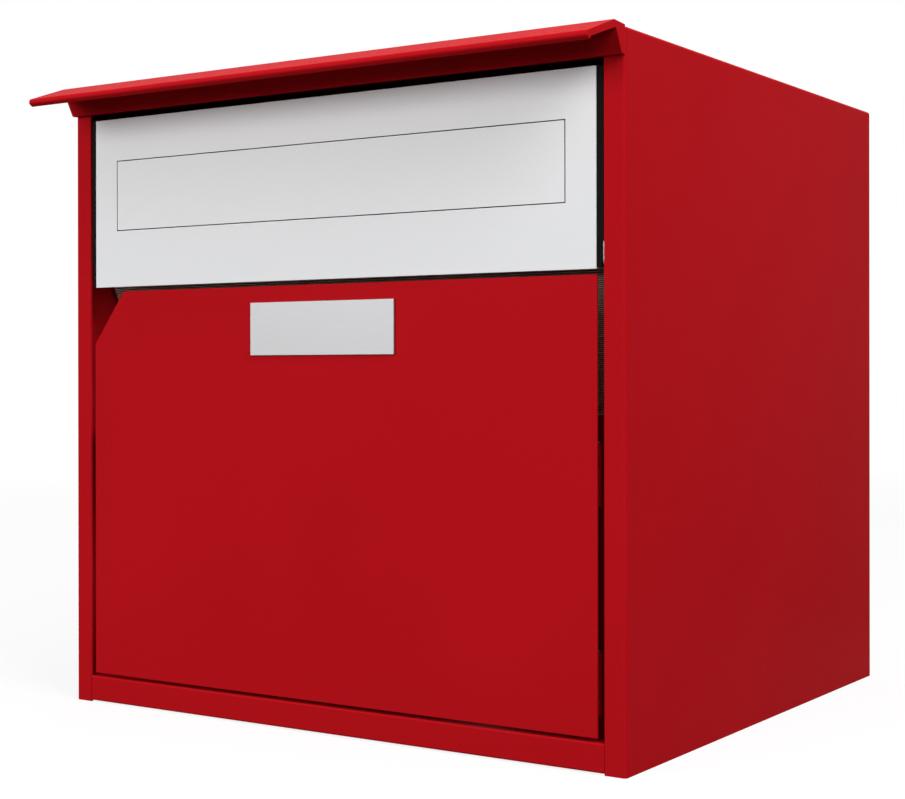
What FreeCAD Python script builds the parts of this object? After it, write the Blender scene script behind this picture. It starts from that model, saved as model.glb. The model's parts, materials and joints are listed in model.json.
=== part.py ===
import FreeCAD, Part
import math
import os
import re
import Sketcher

# Wall mounted post box: a letter compartment behind a top-hung pale panel with a flush flap,
# over a parcel compartment behind a side-hung red door, under a folded rain hood.
# Frame: X to the right seen from the front, Y towards the wall, Z up, in millimetres.
# The origin is the centre of the four wall holes, on the back face. The front plane is at
# Y = -box_depth and the lower edge of the sides at Z = -box_height / 2.

SIZES = {
    # Housing
    "box_width": 408.0,
    "box_height": 400.0,
    "box_depth": 370.0,
    "body_sheet": 1.5,
    "flange_width": 13.0,
    "bend_radius": 2.0,
    "seam": 0.3,
    "rail_height": 17.0,
    "base_lift": 0.8,
    "rail_return": 12.0,
    "inner_flange": 12.0,
    "wall_hole_radius": 4.0,
    "wall_hole_spacing_x": 300.0,
    "wall_hole_spacing_z": 300.0,
    # Rain hood
    "hood_drop": 15.5,
    "hood_foot": 3.6,
    "hood_ridge": 12.0,
    "hood_knee": 10.4,
    "hood_ridge_rise": 1.4,
    "hood_back_rise": 0.6,
    "hood_reach": 41.8,
    "hood_fall": 9.0,
    "hood_blade": 4.1,
    "hood_nose_height": 2.7,
    "hood_nose_lean": 0.6,
    "hood_lip": 1.9,
    "hood_lip_setback": 3.0,
    "hood_lip_foot": 4.4,
    "hood_nose_radius": 1.6,
    "hood_screw_drop": 6.5,
    "hood_screw_inset": 54.0,
    "hood_screw_length": 6.0,
    # Letter door: pale panel, gasket and folded chassis
    "header_gap": 4.0,
    "panel_height": 109.0,
    "panel_side_gap": 5.0,
    "panel_sheet": 2.0,
    "slot_margin": 18.75,
    "slot_height": 45.5,
    "slot_rise": 36.3,
    "gasket_depth": 2.0,
    "gasket_setback": 0.8,
    "gasket_lip_rise": 14.0,
    "chassis_sheet": 1.0,
    "chassis_rise": 1.0,
    "chassis_clearance": 0.8,
    "chassis_window_margin": 5.5,
    "cheek_depth": 20.0,
    "cheek_front_radius": 4.0,
    "cheek_back_radius": 8.0,
    "lip_depth": 17.0,
    "lip_upturn": 7.0,
    "pivot_depth": 6.5,
    "pivot_drop": 4.1,
    "pivot_pin_radius": 2.0,
    "pivot_shoulder_radius": 3.8,
    "pivot_reach": 4.4,
    "running_clearance": 0.06,
    "buffer_inset_right": 86.0,
    "buffer_inset_left": 31.0,
    "buffer_width": 18.0,
    "rest_gap": 0.3,
    # Letter flap and its hinge
    "flap_gap": 0.5,
    "flap_fold": 6.0,
    "flap_axis_depth": 8.5,
    "flap_axis_drop": 3.0,
    "flap_rod_radius": 2.0,
    "flap_rod_end": 4.55,
    "flap_ear_inset": 15.25,
    "flap_ear_width": 5.0,
    "flap_ear_radius": 3.6,
    "flap_bracket_sheet": 1.2,
    "flap_bracket_width": 11.0,
    "flap_bracket_height": 22.0,
    "flap_bracket_depth": 8.5,
    "spring_wire_radius": 0.5,
    "spring_coil_radius": 2.9,
    "spring_pitch": 1.25,
    "spring_leg": 16.0,
    "spring_tail": 5.0,
    # Letter tray, its rails and the ribbed guard under it
    "tray_lift": 4.4,
    "tray_sheet": 1.2,
    "tray_setback": 24.0,
    "tray_flange": 10.0,
    "tray_side_gap": 0.5,
    "tray_rear_gap": 1.0,
    "tray_tab_gap": 0.5,
    "rail_leg": 16.0,
    "rail_drop": 18.0,
    "rail_start": 50.0,
    "tray_screw_radius": 2.0,
    "tray_screw_inset": 9.0,
    "tray_screw_depth": 185.0,
    "tray_screw_length": 9.0,
    "guard_setback": 22.0,
    "guard_side_gap": 9.5,
    "guard_sheet": 1.5,
    "guard_flange": 14.0,
    "guard_length": 96.0,
    "guard_lean": 27.0,
    "rib_pitch": 1.25,
    "rib_height": 0.6,
    # Cam lock of the letter door, in the tray
    "lock_inset": 66.0,
    "lock_setback": 50.0,
    "lock_barrel_radius": 9.0,
    "lock_flange_radius": 11.0,
    "lock_flange_height": 3.0,
    "lock_height": 16.0,
    "keyway_length": 8.0,
    "keyway_width": 1.6,
    "lock_nut_radius": 12.5,
    "lock_nut_height": 4.0,
    "cam_sheet": 2.0,
    "cam_half_width": 5.5,
    "cam_reach": 39.5,
    "cam_hook": 10.0,
    "cam_hook_sheet": 3.0,
    "cam_screw_radius": 3.2,
    "cam_screw_height": 2.2,
    "keeper_half_width": 9.0,
    "keeper_height": 17.0,
    # Parcel door
    "door_gap": 3.0,
    "sill_gap": 2.2,
    "door_side_gap": 4.0,
    "door_hinge_gap": 4.6,
    "door_sheet": 2.0,
    "chamfer_width": 25.4,
    "chamfer_height": 33.8,
    "chamfer_radius": 4.0,
    "pan_depth": 14.0,
    "pan_sheet": 1.2,
    "pan_inset_x": 22.0,
    "pan_inset_z": 17.0,
    "nameplate_width": 107.6,
    "nameplate_height": 32.2,
    "nameplate_drop": 9.9,
    "nameplate_sheet": 1.0,
    "tape_thickness": 0.3,
    "tape_margin": 4.0,
    # Door hinges
    "hinge_inset": 7.0,
    "hinge_depth": 8.0,
    "hinge_pin_radius": 2.5,
    "hinge_ring_radius": 4.5,
    "hinge_height": 34.0,
    "hinge_middle": 11.0,
    "hinge_play": 0.5,
    "hinge_sheet": 2.0,
    "hinge_arm_run": 12.0,
    "hinge_leg": 32.0,
    "lug_sheet": 2.0,
    "lug_clear": 7.0,
    "lug_foot": 5.5,
    "pin_head_radius": 3.8,
    "pin_head_height": 1.5,
    "lower_hinge_height": 47.0,
    "upper_hinge_height": 160.0,
    # Magnetic catch
    "catch_height": 145.0,
    "catch_inset": 30.0,
    "catch_width": 18.0,
    "catch_length": 36.0,
    "catch_depth": 12.0,
    "catch_wall": 2.5,
    "pole_sheet": 1.5,
    "pole_reach": 1.7,
    "magnet_reach": 1.2,
    "strike_sheet": 1.0,
    "strike_margin": 2.0,
    "catch_arm_height": 30.0,
    "catch_leg": 25.0,
    "catch_screw_radius": 1.6,
    "catch_screw_spread": 18.0,
}

SPRING_TURNS = 4

# Places that several pieces share, as formulas of the sizes
FRONT = "-box_depth"
TOP = "box_height / 2"
BASE = "-box_height / 2"
WEB = "(box_width / 2 - body_sheet)"
OPENING = "(box_width / 2 - flange_width)"
PANEL_SIDE = f"({OPENING} - panel_side_gap)"
PANEL_TOP = f"({TOP} - hood_drop - header_gap)"
PANEL_BOTTOM = f"({PANEL_TOP} - panel_height)"
PANEL_BACK = f"({FRONT} + panel_sheet)"
SLOT_BOTTOM = f"({PANEL_BOTTOM} + slot_rise)"
SLOT_TOP = f"({SLOT_BOTTOM} + slot_height)"
CHASSIS_FRONT = f"({PANEL_BACK} + gasket_depth)"
CHASSIS_BACK = f"({CHASSIS_FRONT} + chassis_sheet)"
CHASSIS_SIDE = f"({OPENING} - chassis_clearance)"
CHASSIS_BOTTOM = f"({PANEL_BOTTOM} + chassis_rise)"
SLOT_SIDE = f"({PANEL_SIDE} - slot_margin)"
WINDOW_SIDE = f"({SLOT_SIDE} + chassis_window_margin)"
PIVOT_Y = f"({FRONT} + pivot_depth)"
PIVOT_Z = f"({PANEL_TOP} - pivot_drop)"
FLAP_Y = f"({FRONT} + flap_axis_depth)"
FLAP_Z = f"({SLOT_TOP} - flap_axis_drop)"
FLAP_EAR = f"({SLOT_SIDE} - flap_ear_inset)"
BRACKET_SIDE = f"({WINDOW_SIDE} + flap_bracket_sheet)"
TRAY_UNDER = f"({PANEL_BOTTOM} + tray_lift)"
TRAY_TOP = f"({TRAY_UNDER} + tray_sheet)"
TRAY_FRONT = f"({FRONT} + tray_setback)"
TRAY_BACK = "(-inner_flange - tray_rear_gap)"
LOCK_X = f"(lock_inset - {PANEL_SIDE})"
LOCK_Y = f"({FRONT} + lock_setback)"
CAM_BOTTOM = f"({TRAY_UNDER} + lock_height)"
DOOR_SIDE = f"({OPENING} - door_side_gap)"
DOOR_HINGE_SIDE = f"({OPENING} - door_hinge_gap)"
DOOR_TOP = f"({PANEL_BOTTOM} - door_gap)"
DOOR_BOTTOM = f"({BASE} + rail_height + sill_gap)"
DOOR_BACK = f"({FRONT} + door_sheet)"
PAN_BACK = f"({DOOR_BACK} + pan_depth)"
HINGE_X = f"({DOOR_SIDE} - hinge_inset)"
HINGE_Y = f"({FRONT} + hinge_depth)"
ARM_Y = f"({HINGE_Y} + hinge_arm_run)"
STRIKE_BACK = f"({PAN_BACK} + strike_sheet)"
POLE_FRONT = f"({STRIKE_BACK} + rest_gap)"
CATCH_FRONT = f"({POLE_FRONT} + pole_reach)"
CATCH_BACK = f"({CATCH_FRONT} + catch_depth)"
CATCH_X = f"(catch_inset - {DOOR_SIDE})"
CATCH_Z = f"({BASE} + catch_height)"


def make_sheet(doc):
    """The driving dimensions, one row each: name and value."""
    sheet = doc.addObject("Spreadsheet::Sheet", "sizes")
    for row, (name, value) in enumerate(SIZES.items(), start=1):
        sheet.set(f"A{row}", name)
        sheet.set(f"B{row}", str(value))
        sheet.setAlias(f"B{row}", name)
    doc.recompute()
    return sheet


def linked(formula):
    """A formula of size names becomes one that reads the spreadsheet."""
    return re.sub(
        r"[a-z][a-z_]*",
        lambda word: "sizes." + word.group() if word.group() in SIZES else word.group(),
        formula,
    )


def rectangle(low_x, low_y, high_x, high_y):
    """The four corners of an upright rectangle."""
    return [(low_x, low_y), (high_x, low_y), (high_x, high_y), (low_x, high_y)]


def mirrored(outline):
    """The same outline on the other side of the vertical middle line."""
    return [(f"-({x})", y) for x, y in outline]


def sided(side, low, high):
    """A stretch along X on the right (+1) or, mirrored, on the left (-1)."""
    return (low, high) if side > 0 else (f"-({high})", f"-({low})")


def new_piece(doc, name):
    """An empty body; its label is the name of the piece."""
    body = doc.addObject("PartDesign::Body", name)
    body.Label = name
    return body


def bind(drawing, kind, geometry, point, formula):
    """One dimension from the sketch's origin to a point."""
    number = drawing.addConstraint(Sketcher.Constraint(kind, -1, 1, geometry, point, 1.0))
    drawing.setExpression(f"Constraints[{number}]", linked(formula))


def draw_outline(drawing, outline):
    """A closed run of straight lines, every corner placed from the origin."""
    first = drawing.GeometryCount
    count = len(outline)
    for i in range(count):
        start = FreeCAD.Vector(i, i * i, 0)
        end = FreeCAD.Vector(i + 1, (i + 1) * (i + 1), 0)
        drawing.addGeometry(Part.LineSegment(start, end))
    for i in range(count):
        following = first + (i + 1) % count
        drawing.addConstraint(Sketcher.Constraint("Coincident", first + i, 2, following, 1))
    for i, (x, y) in enumerate(outline):
        bind(drawing, "DistanceX", first + i, 1, x)
        bind(drawing, "DistanceY", first + i, 1, y)


def draw_circle(drawing, x, y, radius):
    """A circle with its centre placed from the origin."""
    centre = FreeCAD.Vector(1, 1, 0)
    circle = drawing.addGeometry(Part.Circle(centre, FreeCAD.Vector(0, 0, 1), 1.0))
    bind(drawing, "DistanceX", circle, 3, x)
    bind(drawing, "DistanceY", circle, 3, y)
    number = drawing.addConstraint(Sketcher.Constraint("Radius", circle, 1.0))
    drawing.setExpression(f"Constraints[{number}]", linked(radius))


def make_sketch(body, plane, offset, outlines, circles):
    """A sketch parallel to one of the body's own origin planes."""
    drawing = body.newObject("Sketcher::SketchObject", body.Label + "_sketch")
    role = plane + "_Plane"
    support = next(p for p in body.Origin.OriginFeatures if p.Role == role)
    drawing.AttachmentSupport = [(support, "")]
    drawing.MapMode = "FlatFace"
    drawing.setExpression("AttachmentOffset.Base.z", linked(offset))
    for outline in outlines:
        draw_outline(drawing, outline)
    for x, y, radius in circles:
        draw_circle(drawing, x, y, radius)
    return drawing


def add(body, plane, low, high, outlines=(), circles=()):
    """Material between two positions along the axis across the plane."""
    # The normal of the XZ plane points to -Y, so a pad there starts from its high side
    offset = f"-({high})" if plane == "XZ" else low
    drawing = make_sketch(body, plane, offset, outlines, circles)
    pad = body.newObject("PartDesign::Pad", body.Label + "_pad")
    pad.Profile = drawing
    pad.setExpression("Length", linked(f"({high}) - ({low})"))
    body.Document.recompute()
    return pad


def cut(body, plane, low, high, outlines=(), circles=()):
    """Material taken away between two positions along the axis across the plane."""
    before = body.Shape.Volume
    offset = f"-({low})" if plane == "XZ" else high
    drawing = make_sketch(body, plane, offset, outlines, circles)
    pocket = body.newObject("PartDesign::Pocket", body.Label + "_pocket")
    pocket.Profile = drawing
    pocket.setExpression("Length", linked(f"({high}) - ({low})"))
    body.Document.recompute()
    if body.Shape.Volume >= before - 1e-6:
        raise RuntimeError(f"{body.Label}: a pocket cuts nothing")
    return pocket


def parallel(edge, axis):
    """True for a straight edge along an axis."""
    if edge.Curve.TypeId != "Part::GeomLine":
        return False
    return abs(edge.Curve.Direction.dot(axis)) > 0.999


def round_edges(body, radius, corners):
    """Fillets, for each corner, the straight edges along an axis farthest in a direction."""
    shape = body.Shape
    names = []
    for along, towards in corners:
        axis = FreeCAD.Vector(*along)
        direction = FreeCAD.Vector(*towards)
        reach = {
            number: edge.CenterOfMass.dot(direction)
            for number, edge in enumerate(shape.Edges, start=1)
            if parallel(edge, axis)
        }
        farthest = max(reach.values())
        names += [f"Edge{n}" for n, value in reach.items() if value > farthest - 0.01]
    last = body.Tip
    fillet = body.newObject("PartDesign::Fillet", body.Label + "_fillet")
    fillet.Base = (last, sorted(set(names)))
    fillet.setExpression("Radius", linked(radius))
    body.Document.recompute()
    return fillet


def hexagon(x, y, radius):
    """Six corners round a centre, the radius reaching to the corners."""
    corners = [(math.cos(math.radians(60 * k)), math.sin(math.radians(60 * k))) for k in range(6)]
    return [(f"{x} + {c:.6f} * {radius}", f"{y} + {s:.6f} * {radius}") for c, s in corners]


def screws(doc, name, plane, head, shank, centres, radius):
    """Identical screws as separate solids of one piece: six-sided heads on round shanks."""
    body = new_piece(doc, name)
    add(body, plane, *head, outlines=[hexagon(x, y, f"{radius} * 2") for x, y in centres])
    add(body, plane, *shank, circles=[(x, y, radius) for x, y in centres])
    return body


def holes(body, plane, low, high, centres, radius):
    """Clearance holes for fasteners of a given shank radius."""
    cut(body, plane, low, high, circles=[(x, y, f"{radius} + running_clearance") for x, y in centres])


# Housing

def hood_screw_places():
    """Centres of the screws that hold the rain hood, from left to right."""
    height = f"{TOP} - hood_screw_drop"
    outer = "(box_width / 2 - hood_screw_inset)"
    return [(x, height) for x in (f"-{outer}", "0", outer)]


def body_shell(doc):
    """Sides and top folded from one sheet, with a front flange on all three."""
    body = new_piece(doc, "body_shell")
    side = "box_width / 2"
    add(body, "XZ", FRONT, "0", [rectangle(f"-{side}", BASE, side, TOP)])
    below = f"{BASE} - body_sheet"
    hollow = rectangle(f"-{WEB}", below, WEB, f"{TOP} - body_sheet")
    cut(body, "XZ", f"{FRONT} + body_sheet", "0", [hollow])
    mouth = rectangle(f"-{OPENING}", below, OPENING, f"{TOP} - flange_width")
    cut(body, "XZ", FRONT, f"{FRONT} + body_sheet", [mouth])
    holes(body, "XZ", FRONT, f"{FRONT} + body_sheet", hood_screw_places(), "tray_screw_radius")
    upright = (0, 0, 1)
    across = (1, 0, 0)
    deep = (0, 1, 0)
    corners = [
        (upright, (1, -1, 0)),
        (upright, (-1, -1, 0)),
        (across, (0, -1, 1)),
        (deep, (1, 0, 1)),
        (deep, (-1, 0, 1)),
    ]
    round_edges(body, "bend_radius", corners)
    return body


def bottom_tray(doc):
    """Floor sheet with a front rail between the side flanges and upturned edges inside."""
    body = new_piece(doc, "bottom_tray")
    under = f"{BASE} + base_lift"
    floor = f"{under} + body_sheet"
    front_inner = f"{FRONT} + body_sheet"
    add(body, "XY", under, floor, [rectangle(f"-{WEB}", front_inner, WEB, "-body_sheet")])
    rail_top = f"{BASE} + rail_height"
    rail = [
        (FRONT, under),
        (f"{FRONT} + rail_return", under),
        (f"{FRONT} + rail_return", floor),
        (front_inner, floor),
        (front_inner, f"{rail_top} - body_sheet"),
        (f"{FRONT} + rail_return", f"{rail_top} - body_sheet"),
        (f"{FRONT} + rail_return", rail_top),
        (FRONT, rail_top),
    ]
    add(body, "YZ", f"-({OPENING} - seam)", f"{OPENING} - seam", [rail])
    inner = f"({WEB} - body_sheet)"
    start = f"{FRONT} + rail_return + body_sheet"
    upturn = [
        (f"-{WEB}", start),
        (f"-{inner}", start),
        (f"-{inner}", "-2 * body_sheet"),
        (inner, "-2 * body_sheet"),
        (inner, start),
        (WEB, start),
        (WEB, "-body_sheet"),
        (f"-{WEB}", "-body_sheet"),
    ]
    add(body, "XY", floor, f"{floor} + inner_flange", [upturn])
    across = (1, 0, 0)
    round_edges(body, "body_sheet * 0.8", [(across, (0, -1, -1)), (across, (0, -1, 1))])
    return body


def back_panel(doc):
    """Back sheet with four wall holes and forward flanges inside the shell."""
    body = new_piece(doc, "back_panel")
    under = f"{BASE} + base_lift"
    ceiling = f"{TOP} - body_sheet"
    add(body, "XZ", "-body_sheet", "0", [rectangle(f"-{WEB}", under, WEB, ceiling)])
    inner = f"({WEB} - body_sheet)"
    start = f"{under} + body_sheet + inner_flange + seam"
    flange = [
        (f"-{WEB}", start),
        (f"-{inner}", start),
        (f"-{inner}", f"{ceiling} - body_sheet"),
        (inner, f"{ceiling} - body_sheet"),
        (inner, start),
        (WEB, start),
        (WEB, ceiling),
        (f"-{WEB}", ceiling),
    ]
    add(body, "XZ", "-inner_flange", "-body_sheet", [flange])
    centres = [
        (f"{x} * wall_hole_spacing_x / 2", f"{z} * wall_hole_spacing_z / 2")
        for x in (-1, 1)
        for z in (-1, 1)
    ]
    cut(body, "XZ", "-body_sheet", "0", circles=[(x, z, "wall_hole_radius") for x, z in centres])
    return body


def rain_hood(doc):
    """Visor across the whole front: a sloping blade with a drip lip over a slanted leg."""
    body = new_piece(doc, "rain_hood")
    nose = f"{FRONT} - hood_reach"
    fall = f"{TOP} - hood_fall"
    profile = [
        (FRONT, f"{TOP} - hood_drop"),
        (f"{FRONT} - hood_foot", f"{TOP} - hood_drop"),
        (f"{FRONT} - hood_knee", f"{TOP} + hood_ridge_rise - hood_blade"),
        (f"{nose} + hood_lip_foot", f"{fall} - hood_nose_height"),
        (f"{nose} + hood_lip_setback", f"{fall} - hood_nose_height - hood_lip"),
        (nose, f"{fall} - hood_nose_height"),
        (f"{nose} + hood_nose_lean", fall),
        (f"{FRONT} - hood_ridge", f"{TOP} + hood_ridge_rise"),
        (FRONT, f"{TOP} + hood_back_rise"),
    ]
    add(body, "YZ", "-box_width / 2", "box_width / 2", [profile])
    depth = f"{FRONT} - hood_screw_length + body_sheet - seam"
    holes(body, "XZ", depth, FRONT, hood_screw_places(), "tray_screw_radius")
    across = (1, 0, 0)
    round_edges(body, "hood_nose_radius", [(across, (0, -3, 1)), (across, (0, -1, -0.3))])
    return body


def hood_screws(doc):
    """Three screws through the shell's top flange into the hood, from inside."""
    seat = f"{FRONT} + body_sheet"
    head = (seat, f"{seat} + tray_screw_radius")
    shank = (f"{seat} - hood_screw_length", seat)
    places = hood_screw_places()
    return screws(doc, "hood_screws", "XZ", head, shank, places, "tray_screw_radius")


# Letter tray and ribbed guard

def tray_screw_place(side):
    """Centre of the tray screw on one side."""
    return (f"{side} * ({WEB} - tray_screw_inset)", f"{FRONT} + tray_screw_depth")


def tray_rail(doc, name, side):
    """Angle rail on the inside of one side, under the tray."""
    body = new_piece(doc, name)
    outline = [
        (WEB, TRAY_UNDER),
        (f"{WEB} - rail_leg", TRAY_UNDER),
        (f"{WEB} - rail_leg", f"{TRAY_UNDER} - body_sheet"),
        (f"{WEB} - body_sheet", f"{TRAY_UNDER} - body_sheet"),
        (f"{WEB} - body_sheet", f"{TRAY_UNDER} - rail_drop"),
        (WEB, f"{TRAY_UNDER} - rail_drop"),
    ]
    add(body, "XZ", f"{FRONT} + rail_start", TRAY_BACK, [outline if side > 0 else mirrored(outline)])
    hole = tray_screw_place(side)
    holes(body, "XY", f"{TRAY_UNDER} - body_sheet", TRAY_UNDER, [hole], "tray_screw_radius")
    return body


def letter_tray(doc):
    """Floor of the letter compartment, with upturned sides and a tab to the back sheet."""
    body = new_piece(doc, "letter_tray")
    half = f"({WEB} - tray_side_gap)"
    tab = f"({WEB} - body_sheet - tray_tab_gap)"
    tab_end = "(-body_sheet - tray_tab_gap)"
    floor = [
        (f"-{half}", TRAY_FRONT),
        (half, TRAY_FRONT),
        (half, TRAY_BACK),
        (tab, TRAY_BACK),
        (tab, tab_end),
        (f"-{tab}", tab_end),
        (f"-{tab}", TRAY_BACK),
        (f"-{half}", TRAY_BACK),
    ]
    add(body, "XY", TRAY_UNDER, TRAY_TOP, [floor])
    upturn = rectangle(f"{half} - tray_sheet", f"{TRAY_FRONT} + tray_flange", half, TRAY_BACK)
    add(body, "XY", TRAY_TOP, f"{TRAY_TOP} + tray_flange", [upturn, mirrored(upturn)])
    screws = [tray_screw_place(-1), tray_screw_place(1)]
    holes(body, "XY", TRAY_UNDER, TRAY_TOP, screws, "tray_screw_radius")
    holes(body, "XY", TRAY_UNDER, TRAY_TOP, [(LOCK_X, LOCK_Y)], "lock_barrel_radius")
    return body


def tray_screws(doc):
    """Two screws from the tray down into its rails."""
    places = [tray_screw_place(-1), tray_screw_place(1)]
    head = (TRAY_TOP, f"{TRAY_TOP} + tray_screw_radius")
    shank = (f"{TRAY_TOP} - tray_screw_length", TRAY_TOP)
    return screws(doc, "tray_screws", "XY", head, shank, places, "tray_screw_radius")


def ribbed_guard(doc, size):
    """Leaning guard under the tray, its front face in fine level ribs, drawn by formula."""
    lean = math.radians(size.guard_lean)
    down = FreeCAD.Vector(0, math.sin(lean), -math.cos(lean))
    outward = FreeCAD.Vector(0, -math.cos(lean), -math.sin(lean))
    panel_bottom = size.box_height / 2 - size.hood_drop - size.header_gap - size.panel_height
    tray_under = panel_bottom + size.tray_lift
    half = size.box_width / 2 - size.body_sheet - size.guard_side_gap
    front = -size.box_depth
    first = FreeCAD.Vector(-half, front + size.guard_setback + size.rib_height, tray_under)
    count = int(size.guard_length / size.rib_pitch)
    points = [first]
    for i in range(count):
        valley = first + down * (i * size.rib_pitch + 0.5 * size.rib_pitch)
        points.append(valley + outward * size.rib_height)
        points.append(first + down * ((i + 1) * size.rib_pitch))
    end = points[-1]
    inner_top = size.guard_sheet
    rise = (tray_under - inner_top - end.z + outward.z * size.guard_sheet) / -down.z
    back_end = end - outward * size.guard_sheet
    points.append(back_end)
    points.append(back_end - down * rise)
    flange_end = front + size.guard_setback + size.guard_flange
    points.append(FreeCAD.Vector(-half, flange_end, tray_under - inner_top))
    points.append(FreeCAD.Vector(-half, flange_end, tray_under))
    points.append(first)
    solid = Part.Face(Part.makePolygon(points)).extrude(FreeCAD.Vector(2 * half, 0, 0))
    feature = doc.addObject("Part::Feature", "ribbed_guard")
    feature.Label = "ribbed_guard"
    feature.Shape = solid
    return feature


# Cam lock

def lock_body(doc):
    """Lock cylinder, keyed from below: flange under the tray, barrel up through it."""
    body = new_piece(doc, "lock_body")
    centre = (LOCK_X, LOCK_Y)
    add(body, "XY", f"{TRAY_UNDER} - lock_flange_height", TRAY_UNDER,
        circles=[(*centre, "lock_flange_radius")])
    add(body, "XY", TRAY_UNDER, f"{CAM_BOTTOM}", circles=[(*centre, "lock_barrel_radius")])
    keyway = rectangle(f"{LOCK_X} - keyway_length / 2", f"{LOCK_Y} - keyway_width / 2",
                       f"{LOCK_X} + keyway_length / 2", f"{LOCK_Y} + keyway_width / 2")
    under = f"{TRAY_UNDER} - lock_flange_height"
    cut(body, "XY", under, f"{under} + lock_flange_height * 2", [keyway])
    return body


def lock_nut(doc):
    """Six-sided nut on the barrel, above the tray."""
    body = new_piece(doc, "lock_nut")
    top = f"{TRAY_TOP} + lock_nut_height"
    add(body, "XY", TRAY_TOP, top, [hexagon(LOCK_X, LOCK_Y, "lock_nut_radius")])
    holes(body, "XY", TRAY_TOP, top, [(LOCK_X, LOCK_Y)], "lock_barrel_radius")
    return body


def lock_cam(doc):
    """Flat cam with a down-turned hook, shown turned aside (unlocked)."""
    body = new_piece(doc, "lock_cam")
    top = f"{CAM_BOTTOM} + cam_sheet"
    end = f"{LOCK_X} + cam_reach"
    bar = rectangle(f"{LOCK_X} - cam_half_width", f"{LOCK_Y} - cam_half_width",
                    end, f"{LOCK_Y} + cam_half_width")
    add(body, "XY", CAM_BOTTOM, top, [bar])
    hook = rectangle(f"{end} - cam_hook_sheet", f"{LOCK_Y} - cam_half_width",
                     end, f"{LOCK_Y} + cam_half_width")
    add(body, "XY", f"{CAM_BOTTOM} - cam_hook", CAM_BOTTOM, [hook])
    upright = (0, 0, 1)
    round_edges(body, "cam_half_width * 0.9", [(upright, (-1, -1, 0)), (upright, (-1, 1, 0))])
    return body


def lock_cam_screw(doc):
    """Screw that holds the cam on the lock."""
    body = new_piece(doc, "lock_cam_screw")
    seat = f"{CAM_BOTTOM} + cam_sheet"
    add(body, "XY", seat, f"{seat} + cam_screw_height",
        circles=[(LOCK_X, LOCK_Y, "cam_screw_radius")])
    return body


# Letter door

def pivot_stud(doc, name, side):
    """Welded stud on one side that the letter door turns on."""
    body = new_piece(doc, name)
    steps = [
        (f"{OPENING} - seam", WEB, "pivot_shoulder_radius"),
        (f"{CHASSIS_SIDE} - pivot_reach", f"{OPENING} - seam", "pivot_pin_radius"),
    ]
    for low, high, radius in steps:
        add(body, "YZ", *sided(side, low, high), circles=[(PIVOT_Y, PIVOT_Z, radius)])
    return body


def letter_panel(doc):
    """Pale front sheet of the letter door, with the slot for the flap."""
    body = new_piece(doc, "letter_panel")
    outline = rectangle(f"-{PANEL_SIDE}", PANEL_BOTTOM, PANEL_SIDE, PANEL_TOP)
    add(body, "XZ", FRONT, PANEL_BACK, [outline])
    slot = rectangle(f"-{SLOT_SIDE}", SLOT_BOTTOM, SLOT_SIDE, SLOT_TOP)
    cut(body, "XZ", FRONT, PANEL_BACK, [slot])
    return body


def window():
    """Opening in the gasket and the chassis behind the flap."""
    margin = "chassis_window_margin"
    return rectangle(f"-{WINDOW_SIDE}", f"{SLOT_BOTTOM} - {margin}",
                     WINDOW_SIDE, f"{SLOT_TOP} + {margin}")


def letter_gasket(doc):
    """Black gasket behind the panel; its rim shows beside the ends and laps the cheeks' edges."""
    body = new_piece(doc, "letter_gasket")
    outer = f"({CHASSIS_SIDE} - chassis_sheet)"
    sheet = rectangle(f"-{outer}", CHASSIS_BOTTOM, outer, PANEL_TOP)
    add(body, "XZ", PANEL_BACK, CHASSIS_FRONT, [sheet])
    cut(body, "XZ", PANEL_BACK, CHASSIS_FRONT, [window()])
    rim = rectangle(PANEL_SIDE, CHASSIS_BOTTOM, outer, PANEL_TOP)
    add(body, "XZ", f"{FRONT} + gasket_setback", PANEL_BACK, [rim, mirrored(rim)])
    lip = rectangle(outer, f"{CHASSIS_BOTTOM} + gasket_lip_rise", CHASSIS_SIDE, PANEL_TOP)
    add(body, "XZ", f"{FRONT} + gasket_setback", PANEL_BACK, [lip, mirrored(lip)])
    return body


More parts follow.
